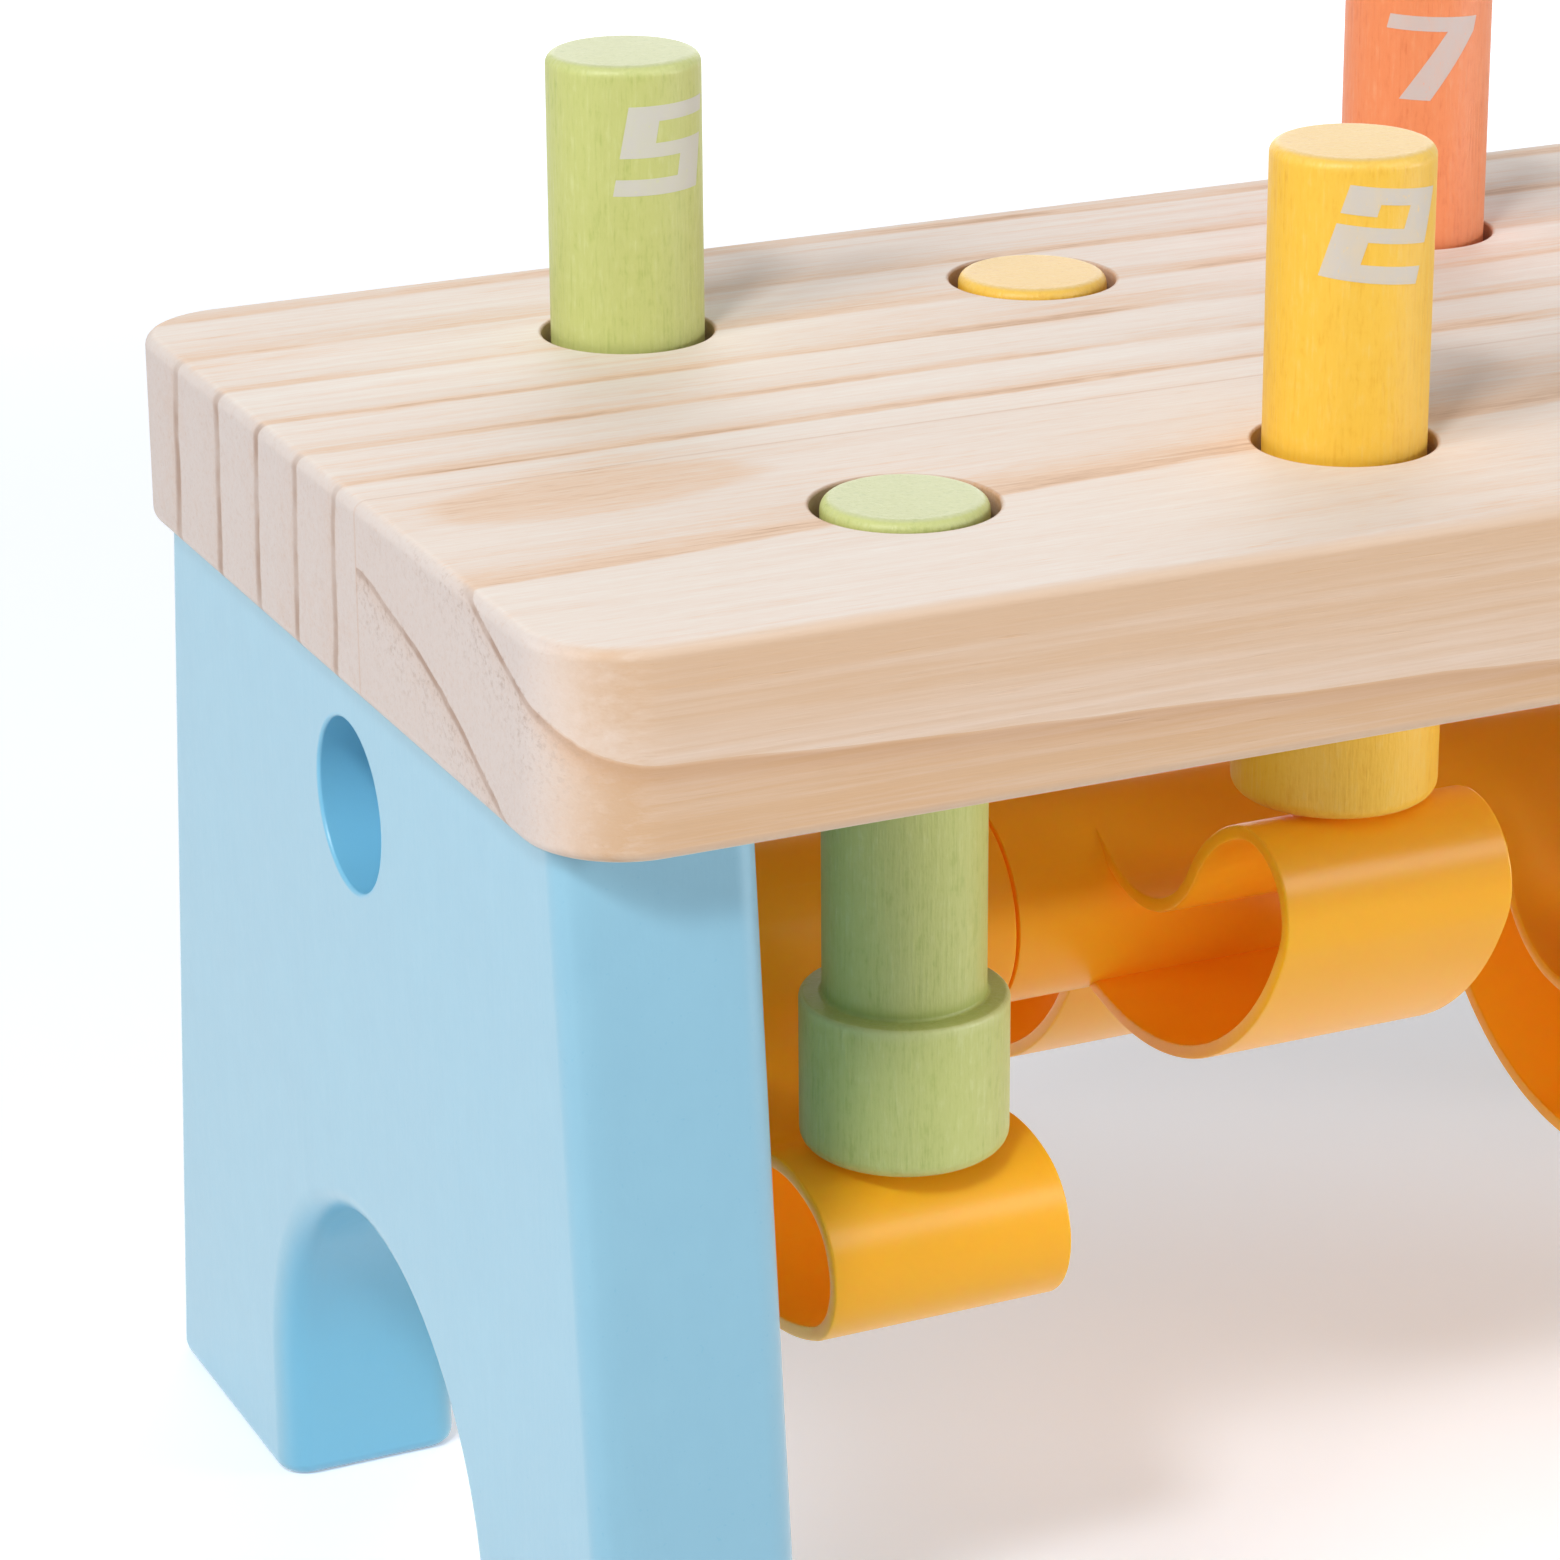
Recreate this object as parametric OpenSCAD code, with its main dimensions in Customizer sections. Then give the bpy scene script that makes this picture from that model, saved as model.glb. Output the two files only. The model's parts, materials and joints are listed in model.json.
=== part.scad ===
// Peg pounding bench. Hitting a raised peg tips a rocker, which lifts the other peg of its column.
// Millimetres. The origin is on the floor under the middle of the bench, with X along its length.

/* [Top board] */
// Length of the board
board_l = 234; // [220:1:260]
// Width of the board
board_w = 121; // [116:1:150]
// Thickness of the board
board_t = 20; // [16:0.5:26]
// Radius of the board's corners in plan
board_corner_r = 10; // [5:0.5:20]
// Radius of the board's edges
board_edge_r = 1.25; // [0.5:0.25:3]

/* [Peg rows] */
// Distance between the two rows of pegs
row_pitch = 66; // [62:0.5:70]

/* [Leg panels] */
// Height of a panel, from the floor to the board
panel_h = 102; // [94:1:125]
// Thickness of a panel
panel_t = 20; // [17:0.5:21]
// Depth of a panel under the board
panel_top_d = 108.6; // [100:0.5:116]
// Depth of a panel at the floor
panel_foot_d = 129.6; // [118:0.5:140]
// Set-back of a panel's outer face from the board's end
panel_inset = 2; // [0.5:0.25:3]
// Width of the arch between the feet
arch_w = 56; // [40:1:70]
// Height of the arch
arch_h = 41.5; // [36:0.5:48]
// Radius of a panel's upright edges and of the arch's edges
panel_edge_r = 2.25; // [1:0.25:4]
// Radius of the edges that meet the floor
foot_edge_r = 1.5; // [0.5:0.25:2.5]
// Diameter of the hole that stores a mallet's handle
handle_hole_d = 17.5; // [14:0.5:19]
// Depth of that hole's axis below the board
handle_hole_drop = 14.2; // [12:0.2:16]

/* [Pegs] */
// Diameter of a peg
peg_d = 16; // [12:0.5:17]
// Diameter of a peg's hole in the board
peg_hole_d = 18; // [17.5:0.25:19]
// Length of a peg above its foot
peg_body_h = 49.8; // [40:0.2:60]
// Diameter of a peg's foot
foot_d = 20.5; // [19.5:0.5:24]
// Height of a peg's foot
foot_h = 15.7; // [10:0.1:20]
// Radius of a peg's top edge
peg_top_r = 1.2; // [0.4:0.1:2]
// Radius of a foot's lower edge
foot_r = 1.6; // [0.4:0.1:3]
// Radius of a foot's upper edge
foot_ledge_r = 0.6; // [0.2:0.1:1]

/* [Rockers] */
// Angle of a rocker away from level, at either end of its swing
tilt = 21.5; // [15:0.25:22]
// Outer radius of the hub tube
hub_r = 11.1; // [10:0.1:11.5]
// Width of the two lobes
lobe_w = 25.4; // [20:0.2:30]
// Wall of the lobes
wall = 1.5; // [1.2:0.1:2.4]
// Distance from the hub's axis to the nose's centre
nose_reach = 40.3; // [38:0.1:42]
// Height of the nose's centre above the hub's axis, with the rocker level
nose_rise = -3.3; // [-4:0.1:-2]
// Radius of the nose
nose_r = 8; // [7:0.1:8.8]
// Distance from the hub's axis to the valley's centre
valley_reach = 21.4; // [20.5:0.1:22.5]
// Height of the valley's centre above the hub's axis
valley_rise = 9.5; // [8.8:0.1:10.5]
// Radius of the valley
valley_r = 11.6; // [10.8:0.1:12.2]
// Radius of the belly under a lobe
belly_r = 32; // [29:0.25:35]
// Angle below level at which the nose runs into the belly
belly_turn = 44; // [36:0.5:50]
// Angle of the straight stretch from the hub down to the belly
belly_slope = 35; // [29:0.5:39]

/* [Axle and dowels] */
// Diameter of the axle dowel
axle_d = 16; // [12:0.5:16.5]
// Depth of the axle's blind hole in a panel
axle_socket = 12; // [8:0.5:15]
// Diameter of a joining dowel
dowel_d = 8; // [6:0.5:10]
// Length of a joining dowel
dowel_l = 30; // [26:1:40]
// Depth of a joining dowel's hole in the board
dowel_in_board = 12; // [8:0.5:14]
// Distance between a panel's two joining dowels
dowel_pitch = 76; // [60:1:84]
// Chamfer on the ends of the axle and the dowels
dowel_chamfer = 1; // [0.5:0.1:1.5]

/* [Clearances] */
// Radial running clearance of a hub on the axle
hub_clear = 0.1; // [0.04:0.02:0.1]
// Gap between two neighbouring hubs
hub_gap = 0.4; // [0.2:0.1:1]
// Gap between an outer hub and its leg panel
hub_end_gap = 0.8; // [0.4:0.1:1.5]
// Gap between a raised foot and the board
foot_gap = 0.3; // [0.2:0.05:1]
// Gap between a foot and its lobe at either end of the swing
lobe_gap = 0.35; // [0.3:0.05:0.6]
// Radial gap of a glued dowel in its hole
glue_gap = 0.05; // [0.02:0.01:0.1]
// Space beyond a glued dowel's end
end_gap = 0.5; // [0.2:0.1:1]

/* [Hidden] */
$fn = 64;
// Length by which a cut runs past the face that it starts from
overrun = 1;
// Depth by which neighbouring arcs and lines of a lobe cross, so that they meet in one clean edge
lap = 0.005;

columns = 4;
PEG_COLOURS = ["#bcd48a", "#f6c94c", "#f69a78", "#9cc9e4"];
PINE = "#ead2b4";
PANEL_BLUE = "#a9d3ea";
ROCKER_YELLOW = "#f2a93b";

panel_out_x = board_l / 2 - panel_inset;
panel_in_x = panel_out_x - panel_t;
panel_lean = atan((panel_foot_d - panel_top_d) / 2 / panel_h);
panel_edge_l = panel_h / cos(panel_lean);
arch_r = arch_w / 2;

// The hump is the arc that leaves the nose's top level and meets the valley's arc in one line.
hump_top = nose_rise + nose_r;
valley_over_hump = valley_rise - hump_top;
hump_r = (pow(nose_reach - valley_reach, 2) + pow(valley_over_hump, 2) - pow(valley_r, 2))
    / (2 * (valley_r - valley_over_hump));
hub_centre = [0, 0];
nose_centre = [nose_reach, nose_rise];
hump_centre = [nose_reach, hump_top - hump_r];
valley_centre = [valley_reach, valley_rise];
belly_centre = nose_centre - (belly_r - nose_r) * heading(-belly_turn);
hump_start = atan2(valley_rise - hump_centre[1], valley_reach - nose_reach);
hub_leave = atan2(valley_rise, valley_reach) + acos(min(1, (hub_r + valley_r) / norm(valley_centre)));
belly_end = -90 - belly_slope;

// Height of a lobe's highest point over the hub's axis, with the lobe raised or lowered by the tilt
lobe_raised = nose_reach * sin(tilt) + nose_rise * cos(tilt) + nose_r;
lobe_lowered = hump_centre[1] * cos(tilt) - nose_reach * sin(tilt) + hump_r;
peg_lift = lobe_raised - lobe_lowered;

foot_up_z = panel_h - foot_gap - foot_h;
axle_z = foot_up_z - lobe_gap - lobe_raised;
handle_hole_z = panel_h - handle_hole_drop;
// The hubs fill the axle between the two panels, and each column of pegs stands over its hub's middle.
column_pitch = (2 * (panel_in_x - hub_end_gap) + hub_gap) / columns;
hub_l = column_pitch - hub_gap;
hub_bore_r = axle_d / 2 + hub_clear;
axle_l = 2 * (panel_in_x + axle_socket - end_gap);
dowel_bottom_z = panel_h + dowel_in_board - end_gap - dowel_l;

function heading(angle) = [cos(angle), sin(angle)];
function column_x(column) = (column - (columns - 1) / 2) * column_pitch;
function row_y(row) = (row - 1 / 2) * row_pitch;
function column_of(peg) = (peg - 1) % columns;
function row_of(peg) = floor((peg - 1) / columns);
// Columns 1 and 3 rest with the back peg raised, columns 2 and 4 with the front peg raised.
function back_raised(column) = column % 2 == 0;
function is_raised(peg) = back_raised(column_of(peg)) == (row_of(peg) == 1);

// What a round-over takes off a corner whose material lies along both positive axes
module corner_waste(r) {
    difference() {
        translate([-overrun, -overrun])
            square(r + overrun);
        translate([r, r])
            circle(r);
    }
}

module edge_waste(r, length) {
    translate([0, 0, -overrun])
        linear_extrude(length + 2 * overrun)
            corner_waste(r);
}

module board_plan() {
    straight_l = board_l - 2 * board_corner_r;
    straight_w = board_w - 2 * board_corner_r;
    square([board_l, straight_w], center = true);
    square([straight_l, board_w], center = true);
    for (x = [-1, 1], y = [-1, 1])
        translate([x * straight_l / 2, y * straight_w / 2])
            circle(board_corner_r);
}

// Waste along the board's lower edges. The upper ones are the same, mirrored.
module board_edge_waste() {
    straight_l = board_l - 2 * board_corner_r;
    straight_w = board_w - 2 * board_corner_r;
    for (side = [0, 180]) {
        rotate(side)
            translate([straight_l / 2, -board_w / 2, 0])
                rotate([0, -90, 0])
                    linear_extrude(straight_l)
                        corner_waste(board_edge_r);
        rotate(side)
            translate([-board_l / 2, straight_w / 2, 0])
                rotate([90, 0, 0])
                    linear_extrude(straight_w)
                        corner_waste(board_edge_r);
    }
    for (x = [-1, 1], y = [-1, 1])
        translate([x * straight_l / 2, y * straight_w / 2, 0])
            rotate(atan2(y, x) - 45)
                rotate_extrude(angle = 90)
                    translate([board_corner_r, 0])
                        mirror([1, 0])
                            corner_waste(board_edge_r);
}

module top_board() {
    color(PINE)
        translate([0, 0, panel_h])
            difference() {
                linear_extrude(board_t)
                    board_plan();
                board_edge_waste();
                translate([0, 0, board_t])
                    mirror([0, 0, 1])
                        board_edge_waste();
                for (column = [0 : columns - 1], row = [0, 1])
                    translate([column_x(column), row_y(row), -overrun])
                        cylinder(d = peg_hole_d, h = board_t + 2 * overrun);
                for (side = [-1, 1], row = [-1, 1])
                    translate([side * dowel_x(), row * dowel_pitch / 2, -overrun])
                        cylinder(r = dowel_d / 2 + glue_gap, h = dowel_in_board + overrun);
            }
}

function dowel_x() = (panel_out_x + panel_in_x) / 2;

module panel_outline() {
    difference() {
        polygon([
            [-panel_foot_d / 2, 0], [panel_foot_d / 2, 0],
            [panel_top_d / 2, panel_h], [-panel_top_d / 2, panel_h]]);
        translate([-arch_r, -overrun])
            square([arch_w, arch_h - arch_r + overrun]);
        translate([0, arch_h - arch_r])
            circle(arch_r);
    }
}

// Waste round one face of the right panel: the face at x = 0, with the wood towards +X
module panel_face_waste() {
    for (end = [0, 1])
        mirror([0, end, 0])
            translate([0, -panel_foot_d / 2, 0])
                rotate([-panel_lean, 0, 0])
                    edge_waste(panel_edge_r, panel_edge_l);
    for (end = [0, 1])
        mirror([0, end, 0])
            translate([0, arch_r, -overrun])
                linear_extrude(arch_h - arch_r + overrun)
                    corner_waste(panel_edge_r);
    translate([0, 0, arch_h - arch_r])
        rotate([90, 0, 90])
            rotate_extrude(angle = 180)
                translate([arch_r, 0])
                    corner_waste(panel_edge_r);
    translate([0, panel_foot_d / 2, 0])
        rotate([90, 0, 0])
            linear_extrude(panel_foot_d)
                corner_waste(foot_edge_r);
}

module right_panel_solid() {
    difference() {
        translate([panel_in_x, 0, 0])
            rotate([90, 0, 90])
                linear_extrude(panel_t)
                    panel_outline();
        translate([panel_in_x, 0, 0])
            panel_face_waste();
        translate([panel_out_x, 0, 0])
            mirror([1, 0, 0])
                panel_face_waste();
        translate([panel_in_x - overrun, 0, handle_hole_z])
            rotate([0, 90, 0])
                cylinder(d = handle_hole_d, h = panel_t + 2 * overrun);
        translate([panel_in_x - overrun, 0, axle_z])
            rotate([0, 90, 0])
                cylinder(r = axle_d / 2 + glue_gap, h = axle_socket + overrun);
        for (row = [-1, 1])
            translate([dowel_x(), row * dowel_pitch / 2, dowel_bottom_z - end_gap])
                cylinder(r = dowel_d / 2 + glue_gap, h = panel_h);
    }
}

module right_leg_panel() {
    color(PANEL_BLUE)
        right_panel_solid();
}

module left_leg_panel() {
    color(PANEL_BLUE)
        mirror([1, 0, 0])
            right_panel_solid();
}

// A round rod along +Z with chamfered ends
module rod(d, length) {
    rotate_extrude()
        polygon([
            [0, 0], [d / 2 - dowel_chamfer, 0], [d / 2, dowel_chamfer],
            [d / 2, length - dowel_chamfer], [d / 2 - dowel_chamfer, length], [0, length]]);
}

module axle_dowel() {
    color(PINE)
        translate([-axle_l / 2, 0, axle_z])
            rotate([0, 90, 0])
                rod(axle_d, axle_l);
}

module joining_dowel(side, row) {
    color(PINE)
        translate([side * dowel_x(), row * dowel_pitch / 2, dowel_bottom_z])
            rod(dowel_d, dowel_l);
}

module disc(centre, r) {
    translate(centre)
        circle(r);
}

// What an arc of less than half a turn adds outside its chord
module bulge(centre, r, from, to) {
    start = centre + r * heading(from);
    end = centre + r * heading(to);
    outwards = r * heading((from + to) / 2);
    intersection() {
        disc(centre, r);
        polygon([start, end, end + outwards, start + outwards]);
    }
}

// One lobe's outline, level and to the right of the hub, with its arcs and lines moved inwards by inset.
// Going round: hub, straight into the valley, hump, nose, belly and straight back to the hub.
module lobe_outline(inset) {
    hub_side = (hub_r - inset - lap) * heading(hub_leave);
    valley_in = valley_centre - (valley_r + inset) * heading(hub_leave);
    valley_out = hump_centre + (hump_r - inset) * heading(hump_start);
    nose_top = nose_centre + [0, nose_r - inset];
    nose_under = nose_centre + (nose_r - inset) * heading(-belly_turn);
    belly_arc_r = belly_r - inset;
    belly_past = belly_end - 2 * acos(1 - lap / belly_arc_r);
    belly_in = belly_centre + (belly_arc_r - lap) * heading(belly_end);
    under_hub = belly_in + norm(belly_in) * heading(180 - belly_slope);
    difference() {
        union() {
            polygon([hub_centre, hub_side, valley_in, valley_out, nose_top, nose_under, belly_in,
                under_hub]);
            bulge(hump_centre, hump_r - inset, 90, hump_start);
            disc(nose_centre, nose_r - inset + lap);
            bulge(belly_centre, belly_arc_r, belly_past, -belly_turn);
        }
        disc(valley_centre, valley_r + inset + lap);
    }
}

// A level rocker with its axle along Z: two hollow lobes on a hub tube
module rocker_solid() {
    difference() {
        union() {
            linear_extrude(lobe_w, center = true)
                for (side = [0, 1])
                    mirror([side, 0])
                        difference() {
                            lobe_outline(0);
                            lobe_outline(wall);
                        }
            cylinder(r = hub_r, h = hub_l, center = true);
        }
        cylinder(r = hub_bore_r, h = hub_l + 2 * overrun, center = true);
    }
}

module rocker(column) {
    turn = back_raised(column) ? tilt : -tilt;
    color(ROCKER_YELLOW)
        translate([column_x(column), 0, axle_z])
            rotate([turn, 0, 0])
                rotate([90, 0, 90])
                    rocker_solid();
}

// Half of a peg's section, from the middle of its foot's underside upwards
module peg_section() {
    difference() {
        union() {
            square([foot_d / 2, foot_h]);
            square([peg_d / 2, foot_h + peg_body_h]);
        }
        translate([foot_d / 2, 0])
            mirror([1, 0])
                corner_waste(foot_r);
        translate([foot_d / 2, foot_h])
            rotate(180)
                corner_waste(foot_ledge_r);
        translate([peg_d / 2, foot_h + peg_body_h])
            rotate(180)
                corner_waste(peg_top_r);
    }
}

module peg(number) {
    column = column_of(number);
    drop = is_raised(number) ? 0 : peg_lift;
    color(PEG_COLOURS[column])
        translate([column_x(column), row_y(row_of(number)), foot_up_z - drop])
            rotate_extrude()
                peg_section();
}

top_board();
left_leg_panel();
right_leg_panel();
axle_dowel();
joining_dowel(-1, -1);  // left_front_dowel
joining_dowel(-1, 1);  // left_back_dowel
joining_dowel(1, -1);  // right_front_dowel
joining_dowel(1, 1);  // right_back_dowel
rocker(0);  // rocker_1
rocker(1);  // rocker_2
rocker(2);  // rocker_3
rocker(3);  // rocker_4
peg(1);  // peg_1
peg(2);  // peg_2
peg(3);  // peg_3
peg(4);  // peg_4
peg(5);  // peg_5
peg(6);  // peg_6
peg(7);  // peg_7
peg(8);  // peg_8
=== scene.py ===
"""Looks of a peg pounding bench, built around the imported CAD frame.

Lengths in the classes are millimetres in the part's own frame: X along the bench, Y to the back, Z up from
the floor. Meshes are in metres.
"""

import json
import logging
import math
from dataclasses import dataclass, field
from enum import Enum
from typing import Any, Callable, Dict, List, Optional, Sequence, Tuple, Union

import bpy
from mathutils import Matrix, Vector


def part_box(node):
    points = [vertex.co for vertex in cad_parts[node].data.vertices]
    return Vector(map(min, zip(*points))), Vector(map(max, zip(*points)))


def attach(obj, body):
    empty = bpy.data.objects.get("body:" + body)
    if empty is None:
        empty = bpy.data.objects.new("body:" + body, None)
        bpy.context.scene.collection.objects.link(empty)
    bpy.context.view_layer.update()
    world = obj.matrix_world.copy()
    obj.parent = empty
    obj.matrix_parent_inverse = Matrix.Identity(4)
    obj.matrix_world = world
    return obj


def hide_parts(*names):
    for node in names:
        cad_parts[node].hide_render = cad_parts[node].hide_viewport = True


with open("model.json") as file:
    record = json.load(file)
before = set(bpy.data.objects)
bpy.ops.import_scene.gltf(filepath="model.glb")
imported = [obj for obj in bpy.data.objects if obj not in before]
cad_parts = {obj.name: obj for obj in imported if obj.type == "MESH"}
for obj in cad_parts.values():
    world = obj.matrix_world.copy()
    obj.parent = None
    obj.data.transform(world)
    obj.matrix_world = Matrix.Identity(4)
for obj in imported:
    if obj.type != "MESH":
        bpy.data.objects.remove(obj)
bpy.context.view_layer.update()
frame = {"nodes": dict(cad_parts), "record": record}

log = logging.getLogger("pounding_bench")

Piece = bpy.types.Object
Material = bpy.types.Material
Point = Tuple[float, float, float]
Flat = Tuple[float, float]
Colour = Tuple[float, float, float]
EdgeTest = Callable[[Vector, Vector], bool]

MM = 0.001  # metres in a millimetre
NEAR = 0.01  # millimetres within which two places count as one
MERGE = 0.000002  # metres within which doubled points are merged
CREASE = 40.0  # degrees above which an edge stays sharp
BIT_SIDES = 72  # sides of a drill bit
BIT_PAST = 2.0  # millimetres by which a drill bit stands past its hole
ROWS, COLUMNS = 2, 4  # rows and columns of pegs
WHITE: Colour = (1.0, 1.0, 1.0)
BLACK: Colour = (0.0, 0.0, 0.0)


def srgb(red: int, green: int, blue: int) -> Colour:
    """Linear colour of an 8-bit display colour."""
    def linear(value: int) -> float:
        """Linear share of one channel."""
        share = value / 255.0
        return share / 12.92 if share <= 0.04045 else ((share + 0.055) / 1.055) ** 2.4

    return (linear(red), linear(green), linear(blue))


def corner(node: str) -> Vector:
    """A CAD node's lowest corner at rest, in millimetres."""
    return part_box(node)[0] / MM


def extent(node: str) -> Vector:
    """A CAD node's length, depth and height at rest, in millimetres."""
    low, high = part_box(node)
    return (high - low) / MM


def joint(name: str) -> Dict[str, Any]:
    """What the record says of a joint."""
    return next(entry for entry in frame["record"]["behaviour"]["joints"] if entry["name"] == name)


def column_x(column: int, pitch: float) -> float:
    """How far along the bench a column of pegs stands, counted from 0 at the left."""
    return (column - (COLUMNS - 1) / 2) * pitch


def heading(degrees: float) -> Vector:
    """Flat unit vector at an angle from the first axis."""
    return Vector((math.cos(math.radians(degrees)), math.sin(math.radians(degrees))))


def arc(centre: Sequence[float], radius: float, start: float, end: float, steps: int) -> List[Flat]:
    """Points along a flat arc.

    Args:
        centre: The arc's centre.
        radius: Its radius.
        start: Its first angle in degrees.
        end: Its last angle in degrees.
        steps: How many chords it gets.

    Returns:
        The points from the first angle to the last.
    """
    points = []
    for i in range(steps + 1):
        spoke = heading(start + (end - start) * i / steps)
        points.append((centre[0] + radius * spoke[0], centre[1] + radius * spoke[1]))
    return points


class Plane(Enum):
    """The plane that a flat profile is drawn in."""

    ACROSS = "yz"
    UPRIGHT = "xz"

    def place(self, point: Flat) -> Vector:
        """A flat point in this plane, in metres."""
        first, second = point[0] * MM, point[1] * MM
        return Vector((0.0, first, second) if self is Plane.ACROSS else (first, 0.0, second))


# Modelling steps, each done with Blender's own operators as by hand
def alone(obj: Piece) -> None:
    """Makes one object the only selected and the active one."""
    bpy.ops.object.select_all(action="DESELECT")
    obj.select_set(True)
    bpy.context.view_layer.objects.active = obj


def begin(name: str, primitive: Callable[..., Any], **sizes: float) -> Piece:
    """Adds a primitive with nothing else selected, and names it and its mesh."""
    bpy.ops.object.select_all(action="DESELECT")
    primitive(**sizes)
    obj = bpy.context.active_object
    obj.name = name
    obj.data.name = name
    return obj


def edit(obj: Piece, mode: str = "VERT") -> None:
    """Opens an object in edit mode with all of its mesh selected."""
    alone(obj)
    bpy.ops.object.mode_set(mode="EDIT")
    bpy.ops.mesh.select_mode(type=mode)
    bpy.ops.mesh.select_all(action="SELECT")


def done() -> None:
    """Leaves edit mode."""
    bpy.ops.object.mode_set(mode="OBJECT")


def draw(name: str, points: Sequence[Flat], plane: Plane, closed: bool = False) -> Piece:
    """Draws a profile by pulling one vertex from point to point.

    Args:
        name: The new object's name.
        points: The profile in millimetres.
        plane: The plane that it lies in.
        closed: Whether it is filled with one face.

    Returns:
        The object that holds the profile.
    """
    obj = begin(name, bpy.ops.mesh.primitive_plane_add, size=MM)
    edit(obj)
    bpy.ops.mesh.merge(type="CENTER")
    places = [plane.place(point) for point in points]
    bpy.ops.transform.translate(value=places[0])
    for here, there in zip(places, places[1:]):
        bpy.ops.mesh.extrude_vertices_move(TRANSFORM_OT_translate={"value": there - here})
    if closed:
        bpy.ops.mesh.select_all(action="SELECT")
        bpy.ops.mesh.edge_face_add()
    done()
    return obj


def turned(name: str, points: Sequence[Flat], steps: int) -> Piece:
    """Turns a profile of radius and height about Z, as on a lathe.

    Args:
        name: The new object's name.
        points: Radius and height along the profile.
        steps: How many sides the turned piece gets.

    Returns:
        The turned piece.
    """
    obj = draw(name, points, Plane.UPRIGHT)
    edit(obj)
    bpy.ops.mesh.spin(steps=steps, angle=2 * math.pi, center=(0, 0, 0), axis=(0, 0, 1))
    close()
    done()
    return obj


def drill_bit(name: str, radius: float, rim: float, span: Flat, steps: int = 4) -> Piece:
    """Turns a drill bit, flared so that it leaves rounded rims at both ends of its hole.

    Args:
        name: The bit's name.
        radius: The hole's radius.
        rim: The rounding of its rims.
        span: The heights of its two ends.
        steps: How many chords a rim's rounding gets.

    Returns:
        The bit, upright on the Z axis.
    """
    low, high = span
    flare, below, above = radius + rim, low - BIT_PAST, high + BIT_PAST
    profile = [(0, below), (flare, below), *arc((flare, low + rim), rim, 270, 180, steps),
               *arc((flare, high - rim), rim, 180, 90, steps), (flare, above), (0, above)]
    return turned(name, profile, BIT_SIDES)


def close() -> None:
    """Merges doubles and points all faces outwards, in edit mode."""
    bpy.ops.mesh.select_all(action="SELECT")
    bpy.ops.mesh.remove_doubles(threshold=MERGE)
    bpy.ops.mesh.normals_make_consistent(inside=False)


def pull(obj: Piece, along: Point) -> None:
    """Extrudes everything in an object along a vector in millimetres and closes the result."""
    edit(obj)
    bpy.ops.mesh.extrude_region_move(TRANSFORM_OT_translate={"value": Vector(along) * MM})
    close()
    done()


def move(obj: Piece, offset: Point = (0, 0, 0), turn: Point = (0, 0, 0)) -> None:
    """Turns a piece by degrees about the axes, shifts it by millimetres and keeps that in its mesh."""
    alone(obj)
    obj.rotation_euler = [math.radians(angle) for angle in turn]
    obj.location = Vector(offset) * MM
    bpy.ops.object.transform_apply(location=True, rotation=True, scale=True)


def soften(obj: Piece, radius: float, segments: int, test: EdgeTest) -> None:
    """Rounds the edges that pass a test.

    Args:
        obj: The piece.
        radius: The rounding in millimetres.
        segments: How many strips the rounding gets.
        test: Takes an edge's two ends in millimetres.
    """
    edit(obj, "EDGE")
    bpy.ops.mesh.select_all(action="DESELECT")
    done()
    mesh = obj.data
    for edge in mesh.edges:
        edge.select = test(*(mesh.vertices[i].co / MM for i in edge.vertices))
    bpy.ops.object.mode_set(mode="EDIT")
    bpy.ops.mesh.bevel(offset=radius * MM, segments=segments, profile=0.5, affect="EDGES")
    done()


def apply(obj: Piece, kind: str, **settings: Any) -> None:
    """Adds a modifier with its settings and applies it."""
    alone(obj)
    modifier = obj.modifiers.new(kind.title(), kind)
    for key, value in settings.items():
        setattr(modifier, key, value)
    bpy.ops.object.modifier_apply(modifier=modifier.name)


def combine(obj: Piece, tool: Piece, operation: str) -> None:
    """Cuts or joins a piece with a tool body, which is used up."""
    apply(obj, "BOOLEAN", operation=operation, solver="EXACT", object=tool)
    mesh = tool.data
    bpy.data.objects.remove(tool)
    bpy.data.meshes.remove(mesh)


def twin(obj: Piece, name: str) -> Piece:
    """Copies a piece with a mesh of its own."""
    alone(obj)
    bpy.ops.object.duplicate(linked=False)
    copy = bpy.context.active_object
    copy.name = name
    copy.data.name = name
    return copy


def joined(pieces: Sequence[Piece]) -> Piece:
    """Joins pieces into the first of them."""
    alone(pieces[0])
    for piece in pieces[1:]:
        piece.select_set(True)
    bpy.ops.object.join()
    return bpy.context.active_object


def smooth(obj: Piece, weighted: bool = True) -> None:
    """Shades a piece smooth up to the crease angle, with its flat faces kept flat where weighted."""
    alone(obj)
    bpy.ops.object.shade_smooth_by_angle(angle=math.radians(CREASE))
    if weighted:
        apply(obj, "WEIGHTED_NORMAL", keep_sharp=True)


def dress(obj: Piece, material: Material) -> None:
    """Gives a piece one material."""
    obj.data.materials.clear()
    obj.data.materials.append(material)


def math_node(operation: str, swapped: bool = False) -> Callable[..., "Term"]:
    """A method that puts a term and other values through a Math node, with the term last if swapped."""
    def method(self: "Term", *others: "Value") -> "Term":
        """Adds the Math node."""
        values = (*others, self) if swapped else (self, *others)
        return self.shader.node("ShaderNodeMath", {"operation": operation}, dict(enumerate(values)))

    return method


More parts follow.
